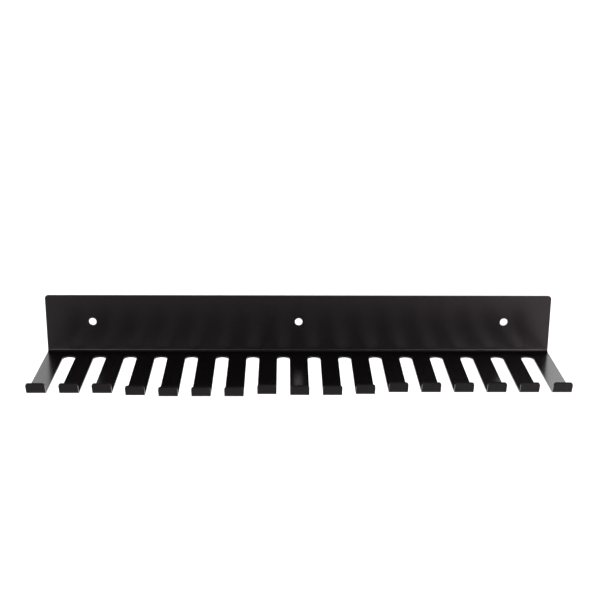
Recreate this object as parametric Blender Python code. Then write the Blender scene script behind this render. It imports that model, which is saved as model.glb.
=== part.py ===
"""Wall cue rack: one laser-cut sheet, folded twice into a back plate, a comb shelf and upturned lips.

Frame: X runs along the rack, the wall is the plane Y = 0 and the fingers point towards -Y, Z is up.
The origin is where the middle screw hole's axis meets the wall. Lengths are in metres.
"""

import math

import bmesh
import bpy

# Driving dimensions
WIDTH = 0.600
SHEET = 0.002
PLATE_HEIGHT = 0.0725  # from the underside of the shelf to the top edge
SHELF_REACH = 0.127  # from the wall to where the shelf's underside would meet the lip's outer face
LIP_LENGTH = 0.0145  # along the lip's outer face, from that same corner
LIP_LEAN = math.radians(19)  # how far the lip leans out from upright
INSIDE_BEND_RADIUS = 0.003

FINGER_COUNT = 17
SLOT_WIDTH = 0.015
SLOT_START = 0.0175  # from the wall to the round rear end of a slot
PITCH = (WIDTH + SLOT_WIDTH) / FINGER_COUNT  # equal fingers fill the whole width

HOLE_DIAMETER = 0.009
HOLE_SPACING = 0.245
HOLE_HEIGHT = 0.0395  # above the underside of the shelf

PLATE_CORNER_RADIUS = 0.004
LIP_CORNER_RADIUS = 0.0032

# Runs of neighbouring fingers that hang a little low: first finger, last finger, drop at the lip.
# Fingers are numbered from 1 at the left end.
LOW_RUNS = (
    (1, 3, 0.0013),
    (4, 4, 0.0039),
    (5, 7, 0.0052),
    (8, 8, 0.0025),
    (9, 10, 0.0036),
    (11, 11, 0.0023),
)

# Mesh fineness
CORNER_STEPS = 3
SLOT_END_STEPS = 12
HOLE_STEPS = 24
PLATE_BEND_STEPS = 6
LIP_BEND_STEPS = 5
WELD = 1e-6
FLAT_ANGLE = math.radians(0.1)
SMOOTH_ANGLE = math.radians(30)

# Lengths of the flat blank, measured along the middle of the sheet from the plate's top edge
OUTSIDE_BEND_RADIUS = INSIDE_BEND_RADIUS + SHEET
MIDDLE_BEND_RADIUS = INSIDE_BEND_RADIUS + SHEET / 2
LIP_TURN = math.radians(90) - LIP_LEAN
LIP_SETBACK = OUTSIDE_BEND_RADIUS * math.tan(LIP_TURN / 2)
PLATE_RUN = PLATE_HEIGHT - OUTSIDE_BEND_RADIUS
PLATE_BEND_RUN = MIDDLE_BEND_RADIUS * math.radians(90)
SHELF_RUN = SHELF_REACH - OUTSIDE_BEND_RADIUS - LIP_SETBACK
LIP_BEND_RUN = MIDDLE_BEND_RADIUS * LIP_TURN
LIP_RUN = LIP_LENGTH - LIP_SETBACK
SHELF_BEGIN = PLATE_RUN + PLATE_BEND_RUN
LIP_BEND_BEGIN = SHELF_BEGIN + SHELF_RUN
BLANK_LENGTH = LIP_BEND_BEGIN + LIP_BEND_RUN + LIP_RUN
SLOT_ROUND_BEGIN = SHELF_BEGIN + SLOT_START - OUTSIDE_BEND_RADIUS
FINGER_ROOT = SLOT_ROUND_BEGIN + SLOT_WIDTH / 2

# The sheet as a path of stretches: length, and how far the sheet turns along it
STRETCHES = (
    (PLATE_RUN, 0.0),
    (PLATE_BEND_RUN, math.radians(90)),
    (SHELF_RUN, 0.0),
    (LIP_BEND_RUN, LIP_TURN),
    (LIP_RUN, 0.0),
)


def clear_scene():
    for obj in list(bpy.data.objects):
        bpy.data.objects.remove(obj, do_unlink=True)


def make_collection(name):
    collection = bpy.data.collections.new(name)
    bpy.context.scene.collection.children.link(collection)
    return collection


def satin_black_powder_coat():
    material = bpy.data.materials.new("satin_black_powder_coat")
    material.use_nodes = True
    shader = material.node_tree.nodes["Principled BSDF"]
    shader.inputs["Base Color"].default_value = (0.012, 0.011, 0.011, 1.0)
    shader.inputs["Metallic"].default_value = 0.0
    shader.inputs["Roughness"].default_value = 0.42
    return material


def arc(centre_x, centre_y, radius, start_degrees, end_degrees, steps):
    """Points along an arc, both ends included."""
    points = []
    for step in range(steps + 1):
        angle = math.radians(start_degrees + (end_degrees - start_degrees) * step / steps)
        points.append((centre_x + radius * math.cos(angle), centre_y + radius * math.sin(angle)))
    return points


def finger_centre(index):
    return (index - (FINGER_COUNT - 1) / 2) * PITCH


def finger_sides(index):
    """Left and right edge of a finger. The outer edges of the end fingers are the ends of the sheet."""
    half_width = (PITCH - SLOT_WIDTH) / 2
    return finger_centre(index) - half_width, finger_centre(index) + half_width


def plate_corners():
    """The two rounded top corners, left then right. The blank's top edge is y = 0."""
    inset = WIDTH / 2 - PLATE_CORNER_RADIUS
    left = arc(-inset, -PLATE_CORNER_RADIUS, PLATE_CORNER_RADIUS, 180, 90, CORNER_STEPS)
    right = arc(inset, -PLATE_CORNER_RADIUS, PLATE_CORNER_RADIUS, 90, 0, CORNER_STEPS)
    return left + right


def finger_end(index):
    """The rounded end of a finger, from its right corner to its left one."""
    left, right = finger_sides(index)
    y = LIP_CORNER_RADIUS - BLANK_LENGTH
    right_corner = arc(right - LIP_CORNER_RADIUS, y, LIP_CORNER_RADIUS, 0, -90, CORNER_STEPS)
    left_corner = arc(left + LIP_CORNER_RADIUS, y, LIP_CORNER_RADIUS, -90, -180, CORNER_STEPS)
    return right_corner + left_corner


def slot_end(index):
    """The round rear end of the slot to the left of a finger, from right to left."""
    centre = finger_centre(index) - PITCH / 2
    return arc(centre, -FINGER_ROOT, SLOT_WIDTH / 2, 0, 180, SLOT_END_STEPS)


def comb_outline():
    points = plate_corners()
    for index in reversed(range(FINGER_COUNT)):
        points += finger_end(index)
        if index > 0:
            points += slot_end(index)
    return points


def screw_hole(centre_x):
    y = HOLE_HEIGHT - PLATE_HEIGHT
    return arc(centre_x, y, HOLE_DIAMETER / 2, 0, 360, HOLE_STEPS)[:-1]


def add_outline(curve, points):
    spline = curve.splines.new("POLY")
    spline.points.add(len(points) - 1)
    for point, (x, y) in zip(spline.points, points):
        point.co = (x, y, 0.0, 1.0)
    spline.use_cyclic_u = True


def blank_curve():
    """The flat blank as a filled outline, its thickness centred on z = 0."""
    curve = bpy.data.curves.new("flat_blank", "CURVE")
    curve.dimensions = "2D"
    curve.fill_mode = "BOTH"
    curve.extrude = SHEET / 2
    add_outline(curve, comb_outline())
    for centre_x in (-HOLE_SPACING, 0.0, HOLE_SPACING):
        add_outline(curve, screw_hole(centre_x))
    return curve


def mesh_from_curve(curve, name):
    """The curve's filled solid as a mesh, with its caps welded to its sides."""
    source = bpy.data.objects.new(name + "_outline", curve)
    bpy.context.scene.collection.objects.link(source)
    bpy.context.view_layer.update()
    graph = bpy.context.evaluated_depsgraph_get()
    mesh = bpy.data.meshes.new_from_object(source.evaluated_get(graph))
    bpy.data.objects.remove(source, do_unlink=True)
    mesh.name = name
    return mesh


def bend_stations():
    """Where the flat blank needs edges across it so that it can follow the bends."""
    stations = [FINGER_ROOT]
    for begin, run, steps in (
        (PLATE_RUN, PLATE_BEND_RUN, PLATE_BEND_STEPS),
        (LIP_BEND_BEGIN, LIP_BEND_RUN, LIP_BEND_STEPS),
    ):
        for step in range(steps + 1):
            stations.append(begin + run * step / steps)
    return stations


def cut_across(blank, stations):
    for station in stations:
        bmesh.ops.bisect_plane(
            blank,
            geom=blank.verts[:] + blank.edges[:] + blank.faces[:],
            plane_co=(0.0, -station, 0.0),
            plane_no=(0.0, 1.0, 0.0),
            dist=WELD,
        )


def facing(turn):
    """The direction that the sheet's room side faces, as (y, z), after it has turned this far."""
    return -math.cos(turn), math.sin(turn)


def heading(turn):
    """The direction in which the blank runs on, as (y, z), after it has turned this far."""
    return -math.sin(turn), -math.cos(turn)


def folded(distance, offset):
    """(y, z) of a point this far down the blank and this far from the middle of the sheet."""
    y = -SHEET / 2
    z = PLATE_HEIGHT - HOLE_HEIGHT
    turn = 0.0
    for length, turning in STRETCHES:
        run = min(distance, length)
        if turning:
            radius = length / turning
            start_y, start_z = facing(turn)
            turn += run / radius
            end_y, end_z = facing(turn)
            y += radius * (start_y - end_y)
            z += radius * (start_z - end_z)
        else:
            along_y, along_z = heading(turn)
            y += along_y * run
            z += along_z * run
        distance -= run
        if distance <= 0.0:
            break
    out_y, out_z = facing(turn)
    return y + out_y * offset, z + out_z * offset


def drop_of_finger(index):
    for first, last, drop in LOW_RUNS:
        if first <= index + 1 <= last:
            return drop
    return 0.0


def lowered(y, z, drop):
    """A point of a finger swung down about the finger's root, by this drop at the lip."""
    root_y, root_z = folded(FINGER_ROOT, 0.0)
    angle = math.asin(drop / (SHELF_REACH + root_y))
    across = y - root_y
    up = z - root_z
    swung_y = root_y + across * math.cos(angle) - up * math.sin(angle)
    swung_z = root_z + across * math.sin(angle) + up * math.cos(angle)
    return swung_y, swung_z


def fold(blank):
    for vert in blank.verts:
        distance = -vert.co.y
        y, z = folded(distance, vert.co.z)
        if distance > FINGER_ROOT + WELD:
            index = round(vert.co.x / PITCH + (FINGER_COUNT - 1) / 2)
            y, z = lowered(y, z, drop_of_finger(index))
        vert.co.y = y
        vert.co.z = z


def folded_comb_sheet(collection, material):
    name = "folded_comb_sheet"
    mesh = mesh_from_curve(blank_curve(), name)
    sheet = bmesh.new()
    sheet.from_mesh(mesh)
    bmesh.ops.remove_doubles(sheet, verts=sheet.verts[:], dist=WELD)
    bmesh.ops.dissolve_limit(sheet, angle_limit=FLAT_ANGLE, verts=sheet.verts[:], edges=sheet.edges[:])
    cut_across(sheet, bend_stations())
    fold(sheet)
    bmesh.ops.recalc_face_normals(sheet, faces=sheet.faces[:])
    sheet.to_mesh(mesh)
    sheet.free()
    mesh.shade_smooth()
    mesh.set_sharp_from_angle(angle=SMOOTH_ANGLE)
    mesh.materials.clear()
    mesh.materials.append(material)
    obj = bpy.data.objects.new(name, mesh)
    collection.objects.link(obj)
    return obj


def main():
    clear_scene()
    collection = make_collection("wall_cue_rack")
    folded_comb_sheet(collection, satin_black_powder_coat())


main()
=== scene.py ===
"""Looks of the wall cue rack: the folded sheet with finer bends, its powder coat, and a pale studio.

X runs along the rack, the wall is the plane Y = 0 and the fingers point towards -Y, Z is up.
Lengths are in metres.
"""

import math

import bmesh
import bpy
from mathutils import Euler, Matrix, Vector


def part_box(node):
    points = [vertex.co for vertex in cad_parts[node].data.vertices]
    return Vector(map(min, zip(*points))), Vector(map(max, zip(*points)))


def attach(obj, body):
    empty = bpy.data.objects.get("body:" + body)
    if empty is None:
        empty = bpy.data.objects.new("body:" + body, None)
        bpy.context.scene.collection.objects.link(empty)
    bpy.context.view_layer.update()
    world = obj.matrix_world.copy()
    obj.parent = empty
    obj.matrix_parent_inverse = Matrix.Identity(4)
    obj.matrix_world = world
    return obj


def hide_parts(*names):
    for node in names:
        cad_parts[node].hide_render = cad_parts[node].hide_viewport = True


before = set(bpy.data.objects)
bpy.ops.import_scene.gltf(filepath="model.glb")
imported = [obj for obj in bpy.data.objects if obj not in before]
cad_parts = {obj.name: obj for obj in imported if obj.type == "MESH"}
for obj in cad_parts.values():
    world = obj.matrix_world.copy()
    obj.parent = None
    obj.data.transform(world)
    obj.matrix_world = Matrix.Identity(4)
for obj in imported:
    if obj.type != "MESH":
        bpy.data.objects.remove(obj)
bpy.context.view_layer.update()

NODE = "folded_comb_sheet"

# The sheet's shape, as in the CAD model
SHEET = 0.002
SHELF_REACH = 0.127
LIP_LENGTH = 0.0145
LIP_LEAN = math.radians(19)
INSIDE_BEND_RADIUS = 0.003
FINGER_COUNT = 17
SLOT_WIDTH = 0.015
SLOT_START = 0.0175
HOLE_DIAMETER = 0.009
HOLE_SPACING = 0.245
HOLE_HEIGHT = 0.0395
PLATE_CORNER_RADIUS = 0.004
LIP_CORNER_RADIUS = 0.0032

# Runs of neighbouring fingers that hang a little low: first finger, last finger, drop at the lip
LOW_RUNS = (
    (1, 3, 0.0013),
    (4, 4, 0.0039),
    (5, 7, 0.0052),
    (8, 8, 0.0025),
    (9, 10, 0.0036),
    (11, 11, 0.0023),
)

# The origin is on the middle hole's axis, so the plate's top edge gives its height
CAD_LOW, CAD_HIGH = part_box(NODE)
WIDTH = CAD_HIGH.x - CAD_LOW.x
PLATE_HEIGHT = CAD_HIGH.z + HOLE_HEIGHT
PITCH = (WIDTH + SLOT_WIDTH) / FINGER_COUNT

# Mesh fineness
CORNER_STEPS = 8
SLOT_END_STEPS = 32
HOLE_STEPS = 64
PLATE_BEND_STEPS = 12
LIP_BEND_STEPS = 10
WELD = 1e-6
FLAT_ANGLE = math.radians(0.1)

# Powder coat: its rounding over cut edges, its gloss, and its orange peel
COAT_EDGE_RADIUS = 0.0003
COAT_EDGE_SEGMENTS = 2
CUT_EDGE_ANGLE = math.radians(50)
COAT_COLOUR = (0.0037, 0.0031, 0.0034, 1.0)
COAT_TINT = (1.0, 0.87, 0.92, 1.0)
COAT_ROUGHNESS = 0.23
COAT_SPECULAR = 0.2
PEEL_SCALE = 700.0
PEEL_DETAIL = 2.0
PEEL_STRENGTH = 0.3
PEEL_DEPTH = 0.00003

# Camera
LENS = 69.8
SENSOR_WIDTH = 36.0
FARTHEST_SEEN = 100.0
CAMERA_PLACE = (-0.0172, -1.3118, 0.4557)
CAMERA_LOOKS_DOWN = math.radians(18.102)
CAMERA_TURN = math.radians(-0.814)
CAMERA_ROLL = math.radians(0.348)

# Studio; brightness is relative to a white of 1
FLOOR_LEVEL = -0.45
FLOOR_REACH = 40.0
FLOOR_COLOUR = (0.6, 0.6, 0.6, 1.0)
FLOOR_ROUGHNESS = 0.9
WHITE = (1.0, 1.0, 1.0, 1.0)
ROOM = 0.28
PATCH_SOFTNESS = 0.05

# Soft boxes far away, as patches of the sky: X, Y and Z range of the direction to them, brightness.
# A direction's components stay within 1 either way, so a range that ends at BEYOND is open there.
BEYOND = 1.2
LEFT = (-BEYOND, 0.0)
RIGHT = (0.0, BEYOND)
FRONT = (-BEYOND, 0.0)
BEHIND = (0.0, BEYOND)
EVERYWHERE = (-BEYOND, BEYOND)
LOWER_BAND = (0.0, 0.26)
UPPER_BAND = (0.26, 0.6)
FRONT_BAND = (0.04, 0.25)
SOFT_BOXES = (
    (EVERYWHERE, EVERYWHERE, (-BEYOND, 0.04), 1.0),
    (LEFT, BEHIND, LOWER_BAND, 3.2),
    (RIGHT, BEHIND, LOWER_BAND, 3.6),
    (LEFT, BEHIND, UPPER_BAND, 1.4),
    (RIGHT, BEHIND, UPPER_BAND, 1.8),
    ((0.19, 0.45), FRONT, FRONT_BAND, 34.0),
    ((-0.45, -0.11), FRONT, FRONT_BAND, 13.0),
)

# Panels below the rack, hidden from the camera, light the floor all round it but for a dimmer area
# in front: X range, Y range, brightness
WASH_LEVEL = -0.25
WASHES = (
    ((-20.0, 20.0), (-0.1, 30.0), 1.5),
    ((0.55, 3.0), (-4.0, -0.1), 4.8),
    ((-3.0, -0.65), (-4.0, -0.1), 2.1),
    ((3.0, 20.0), (-4.0, -0.1), 1.5),
    ((-20.0, -3.0), (-4.0, -0.1), 1.5),
    ((-20.0, 20.0), (-20.0, -4.0), 1.5),
)

# Lengths of the flat blank, measured along the middle of the sheet from the plate's top edge
OUTSIDE_BEND_RADIUS = INSIDE_BEND_RADIUS + SHEET
MIDDLE_BEND_RADIUS = INSIDE_BEND_RADIUS + SHEET / 2
LIP_TURN = math.radians(90) - LIP_LEAN
LIP_SETBACK = OUTSIDE_BEND_RADIUS * math.tan(LIP_TURN / 2)
PLATE_RUN = PLATE_HEIGHT - OUTSIDE_BEND_RADIUS
PLATE_BEND_RUN = MIDDLE_BEND_RADIUS * math.radians(90)
SHELF_RUN = SHELF_REACH - OUTSIDE_BEND_RADIUS - LIP_SETBACK
LIP_BEND_RUN = MIDDLE_BEND_RADIUS * LIP_TURN
LIP_RUN = LIP_LENGTH - LIP_SETBACK
SHELF_BEGIN = PLATE_RUN + PLATE_BEND_RUN
LIP_BEND_BEGIN = SHELF_BEGIN + SHELF_RUN
BLANK_LENGTH = LIP_BEND_BEGIN + LIP_BEND_RUN + LIP_RUN
FINGER_ROOT = SHELF_BEGIN + SLOT_START - OUTSIDE_BEND_RADIUS + SLOT_WIDTH / 2

# The sheet as a path of stretches: length, and how far the sheet turns along it
STRETCHES = (
    (PLATE_RUN, 0.0),
    (PLATE_BEND_RUN, math.radians(90)),
    (SHELF_RUN, 0.0),
    (LIP_BEND_RUN, LIP_TURN),
    (LIP_RUN, 0.0),
)


def arc(centre_x, centre_y, radius, start_degrees, end_degrees, steps):
    """Points along an arc, both ends included."""
    points = []
    for step in range(steps + 1):
        angle = math.radians(start_degrees + (end_degrees - start_degrees) * step / steps)
        points.append((centre_x + radius * math.cos(angle), centre_y + radius * math.sin(angle)))
    return points


def finger_centre(index):
    return (index - (FINGER_COUNT - 1) / 2) * PITCH


def finger_sides(index):
    """Left and right edge of a finger. The outer edges of the end fingers are the ends of the sheet."""
    half_width = (PITCH - SLOT_WIDTH) / 2
    return finger_centre(index) - half_width, finger_centre(index) + half_width


def plate_corners():
    """The two rounded top corners, left then right. The blank's top edge is y = 0."""
    inset = WIDTH / 2 - PLATE_CORNER_RADIUS
    left = arc(-inset, -PLATE_CORNER_RADIUS, PLATE_CORNER_RADIUS, 180, 90, CORNER_STEPS)
    right = arc(inset, -PLATE_CORNER_RADIUS, PLATE_CORNER_RADIUS, 90, 0, CORNER_STEPS)
    return left + right


def finger_end(index):
    """The rounded end of a finger, from its right corner to its left one."""
    left, right = finger_sides(index)
    y = LIP_CORNER_RADIUS - BLANK_LENGTH
    right_corner = arc(right - LIP_CORNER_RADIUS, y, LIP_CORNER_RADIUS, 0, -90, CORNER_STEPS)
    left_corner = arc(left + LIP_CORNER_RADIUS, y, LIP_CORNER_RADIUS, -90, -180, CORNER_STEPS)
    return right_corner + left_corner


def slot_end(index):
    """The round rear end of the slot to the left of a finger, from right to left."""
    centre = finger_centre(index) - PITCH / 2
    return arc(centre, -FINGER_ROOT, SLOT_WIDTH / 2, 0, 180, SLOT_END_STEPS)


def comb_outline():
    points = plate_corners()
    for index in reversed(range(FINGER_COUNT)):
        points += finger_end(index)
        if index > 0:
            points += slot_end(index)
    return points


def screw_hole(centre_x):
    y = HOLE_HEIGHT - PLATE_HEIGHT
    return arc(centre_x, y, HOLE_DIAMETER / 2, 0, 360, HOLE_STEPS)[:-1]


def add_outline(curve, points):
    spline = curve.splines.new("POLY")
    spline.points.add(len(points) - 1)
    for point, (x, y) in zip(spline.points, points):
        point.co = (x, y, 0.0, 1.0)
    spline.use_cyclic_u = True


def blank_mesh(name):
    """The flat blank as a solid, its thickness centred on z = 0 and its caps not yet welded."""
    curve = bpy.data.curves.new(name + "_outline", "CURVE")
    curve.dimensions = "2D"
    curve.fill_mode = "BOTH"
    curve.extrude = SHEET / 2
    add_outline(curve, comb_outline())
    for centre_x in (-HOLE_SPACING, 0.0, HOLE_SPACING):
        add_outline(curve, screw_hole(centre_x))
    source = bpy.data.objects.new(name + "_outline", curve)
    bpy.context.scene.collection.objects.link(source)
    bpy.context.view_layer.update()
    graph = bpy.context.evaluated_depsgraph_get()
    mesh = bpy.data.meshes.new_from_object(source.evaluated_get(graph))
    bpy.data.objects.remove(source, do_unlink=True)
    mesh.name = name
    return mesh


def bend_stations():
    """Where the flat blank needs edges across it so that it can follow the bends."""
    stations = [FINGER_ROOT]
    for begin, run, steps in (
        (PLATE_RUN, PLATE_BEND_RUN, PLATE_BEND_STEPS),
        (LIP_BEND_BEGIN, LIP_BEND_RUN, LIP_BEND_STEPS),
    ):
        for step in range(steps + 1):
            stations.append(begin + run * step / steps)
    return stations


def cut_across(blank, stations):
    for station in stations:
        bmesh.ops.bisect_plane(
            blank,
            geom=blank.verts[:] + blank.edges[:] + blank.faces[:],
            plane_co=(0.0, -station, 0.0),
            plane_no=(0.0, 1.0, 0.0),
            dist=WELD,
        )


def facing(turn):
    """The direction that the sheet's room side faces, as (y, z), after it has turned this far."""
    return -math.cos(turn), math.sin(turn)


def heading(turn):
    """The direction in which the blank runs on, as (y, z), after it has turned this far."""
    return -math.sin(turn), -math.cos(turn)


def folded(distance, offset):
    """(y, z) of a point this far down the blank and this far from the middle of the sheet."""
    y = -SHEET / 2
    z = PLATE_HEIGHT - HOLE_HEIGHT
    turn = 0.0
    for length, turning in STRETCHES:
        run = min(distance, length)
        if turning:
            radius = length / turning
            start_y, start_z = facing(turn)
            turn += run / radius
            end_y, end_z = facing(turn)
            y += radius * (start_y - end_y)
            z += radius * (start_z - end_z)
        else:
            along_y, along_z = heading(turn)
            y += along_y * run
            z += along_z * run
        distance -= run
        if distance <= 0.0:
            break
    out_y, out_z = facing(turn)
    return y + out_y * offset, z + out_z * offset


def drop_of_finger(index):
    for first, last, drop in LOW_RUNS:
        if first <= index + 1 <= last:
            return drop
    return 0.0


def lowered(y, z, drop):
    """A point of a finger swung down about the finger's root, by this drop at the lip."""
    root_y, root_z = folded(FINGER_ROOT, 0.0)
    angle = math.asin(drop / (SHELF_REACH + root_y))
    across = y - root_y
    up = z - root_z
    swung_y = root_y + across * math.cos(angle) - up * math.sin(angle)
    swung_z = root_z + across * math.sin(angle) + up * math.cos(angle)
    return swung_y, swung_z


def fold(blank):
    for vert in blank.verts:
        distance = -vert.co.y
        y, z = folded(distance, vert.co.z)
        if distance > FINGER_ROOT + WELD:
            index = round(vert.co.x / PITCH + (FINGER_COUNT - 1) / 2)
            y, z = lowered(y, z, drop_of_finger(index))
        vert.co.y = y
        vert.co.z = z


def folded_sheet():
    name = "folded_sheet"
    mesh = blank_mesh(name)
    sheet = bmesh.new()
    sheet.from_mesh(mesh)
    bmesh.ops.remove_doubles(sheet, verts=sheet.verts[:], dist=WELD)
    bmesh.ops.dissolve_limit(sheet, angle_limit=FLAT_ANGLE, verts=sheet.verts[:], edges=sheet.edges[:])
    cut_across(sheet, bend_stations())
    fold(sheet)
    bmesh.ops.recalc_face_normals(sheet, faces=sheet.faces[:])
    sheet.to_mesh(mesh)
    sheet.free()
    mesh.shade_smooth()
    obj = bpy.data.objects.new(name, mesh)
    bpy.context.scene.collection.objects.link(obj)
    bevel = obj.modifiers.new("coat_edge", "BEVEL")
    bevel.width = COAT_EDGE_RADIUS
    bevel.segments = COAT_EDGE_SEGMENTS
    bevel.limit_method = "ANGLE"
    bevel.angle_limit = CUT_EDGE_ANGLE
    bevel.harden_normals = True
    return obj


def powder_coat():
    """Satin black with a fine orange peel."""
    material = bpy.data.materials.new("satin_black_powder_coat")
    material.use_nodes = True
    nodes = material.node_tree.nodes
    links = material.node_tree.links
    shader = nodes["Principled BSDF"]
    shader.inputs["Base Color"].default_value = COAT_COLOUR
    shader.inputs["Roughness"].default_value = COAT_ROUGHNESS
    shader.inputs["Specular IOR Level"].default_value = COAT_SPECULAR
    shader.inputs["Specular Tint"].default_value = COAT_TINT
    place = nodes.new("ShaderNodeTexCoord")
    peel = nodes.new("ShaderNodeTexNoise")
    peel.inputs["Scale"].default_value = PEEL_SCALE
    peel.inputs["Detail"].default_value = PEEL_DETAIL
    links.new(place.outputs["Object"], peel.inputs["Vector"])
    bump = nodes.new("ShaderNodeBump")
    bump.inputs["Strength"].default_value = PEEL_STRENGTH
    bump.inputs["Distance"].default_value = PEEL_DEPTH
    links.new(peel.outputs["Fac"], bump.inputs["Height"])
    links.new(bump.outputs["Normal"], shader.inputs["Normal"])
    return material


def pale_floor():
    bpy.ops.mesh.primitive_plane_add(size=2 * FLOOR_REACH, location=(0.0, 0.0, FLOOR_LEVEL))
    floor = bpy.context.object
    floor.name = "floor"
    material = bpy.data.materials.new("pale_floor")
    material.use_nodes = True
    shader = material.node_tree.nodes["Principled BSDF"]
    shader.inputs["Base Color"].default_value = FLOOR_COLOUR
    shader.inputs["Roughness"].default_value = FLOOR_ROUGHNESS
    floor.data.materials.append(material)


def floor_wash(across, along, brightness):
    """A panel facing down, given its X range and its Y range."""
    light = bpy.data.lights.new("floor_wash", "AREA")
    light.shape = "RECTANGLE"
    light.size = across[1] - across[0]
    light.size_y = along[1] - along[0]
    light.energy = brightness * light.size * light.size_y * math.pi
    obj = bpy.data.objects.new("floor_wash", light)
    bpy.context.scene.collection.objects.link(obj)
    obj.location = (sum(across) / 2, sum(along) / 2, WASH_LEVEL)
    obj.visible_camera = False


def math_node(nodes, links, operation, first, second):
    node = nodes.new("ShaderNodeMath")
    node.operation = operation
    links.new(first, node.inputs[0])
    links.new(second, node.inputs[1])
    return node.outputs["Value"]


def soft_step(nodes, links, value, middle, before, after):
    """Goes smoothly from one level to the other as the value passes the middle."""
    node = nodes.new("ShaderNodeMapRange")
    node.interpolation_type = "SMOOTHSTEP"
    node.inputs["From Min"].default_value = middle - PATCH_SOFTNESS
    node.inputs["From Max"].default_value = middle + PATCH_SOFTNESS
    node.inputs["To Min"].default_value = before
    node.inputs["To Max"].default_value = after
    links.new(value, node.inputs["Value"])
    return node.outputs["Result"]


def soft_box(nodes, links, direction, ranges, brightness):
    """Glows where all three parts of the direction are within their ranges."""
    glow = nodes.new("ShaderNodeValue").outputs["Value"]
    glow.default_value = brightness
    for axis, (low, high) in zip("XYZ", ranges):
        rise = soft_step(nodes, links, direction.outputs[axis], low, 0.0, 1.0)
        fall = soft_step(nodes, links, direction.outputs[axis], high, 1.0, 0.0)
        glow = math_node(nodes, links, "MULTIPLY", glow, rise)
        glow = math_node(nodes, links, "MULTIPLY", glow, fall)
    return glow


def world_light():
    """An even room with soft boxes in it."""
    world = bpy.data.worlds.new("studio")
    bpy.context.scene.world = world
    world.use_nodes = True
    nodes = world.node_tree.nodes
    links = world.node_tree.links
    place = nodes.new("ShaderNodeTexCoord")
    direction = nodes.new("ShaderNodeSeparateXYZ")
    links.new(place.outputs["Generated"], direction.inputs["Vector"])
    total = nodes.new("ShaderNodeValue").outputs["Value"]
    total.default_value = ROOM
    for *ranges, brightness in SOFT_BOXES:
        glow = soft_box(nodes, links, direction, ranges, brightness)
        total = math_node(nodes, links, "ADD", total, glow)
    background = nodes["Background"]
    background.inputs["Color"].default_value = WHITE
    links.new(total, background.inputs["Strength"])


def camera():
    data = bpy.data.cameras.new("camera")
    data.sensor_width = SENSOR_WIDTH
    data.lens = LENS
    data.clip_end = FARTHEST_SEEN
    obj = bpy.data.objects.new("camera", data)
    bpy.context.scene.collection.objects.link(obj)
    obj.location = CAMERA_PLACE
    aim = Euler((math.radians(90) - CAMERA_LOOKS_DOWN, 0.0, CAMERA_TURN)).to_matrix()
    roll = Euler((0.0, 0.0, CAMERA_ROLL)).to_matrix()
    obj.rotation_euler = (aim @ roll).to_euler()
    bpy.context.scene.camera = obj


sheet = folded_sheet()
sheet.data.materials.clear()
sheet.data.materials.append(powder_coat())
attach(sheet, "root")
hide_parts(NODE)
pale_floor()
for wash in WASHES:
    floor_wash(*wash)
world_light()
camera()
bpy.context.scene.view_settings.view_transform = "Standard"
